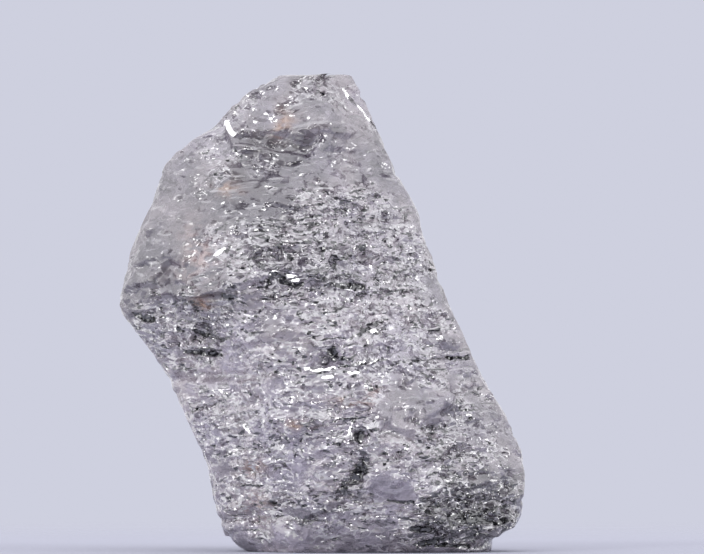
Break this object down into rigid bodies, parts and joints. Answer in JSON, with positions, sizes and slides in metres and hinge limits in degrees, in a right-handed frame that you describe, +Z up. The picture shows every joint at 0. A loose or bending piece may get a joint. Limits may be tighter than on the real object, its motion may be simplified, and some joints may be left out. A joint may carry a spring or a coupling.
{
  "type": "rough diamond",
  "caption": "Grey, translucent rough diamond crystal, taller than wide and leaning, with ledged and pitted faces, standing on a small flat spot.",
  "frame": {"origin": "on the surface it rests on, under the middle of the stone's box", "axes": "+X to the right seen from the front, +Y away from the front, +Z up"},
  "size_m": [0.0068, 0.005, 0.008],
  "materials": {
    "grey_crystal": "natural, frosted and translucent"
  },
  "bodies": {
    "root": {"rough_diamond": "grey_crystal"}
  },
  "joints": []
}
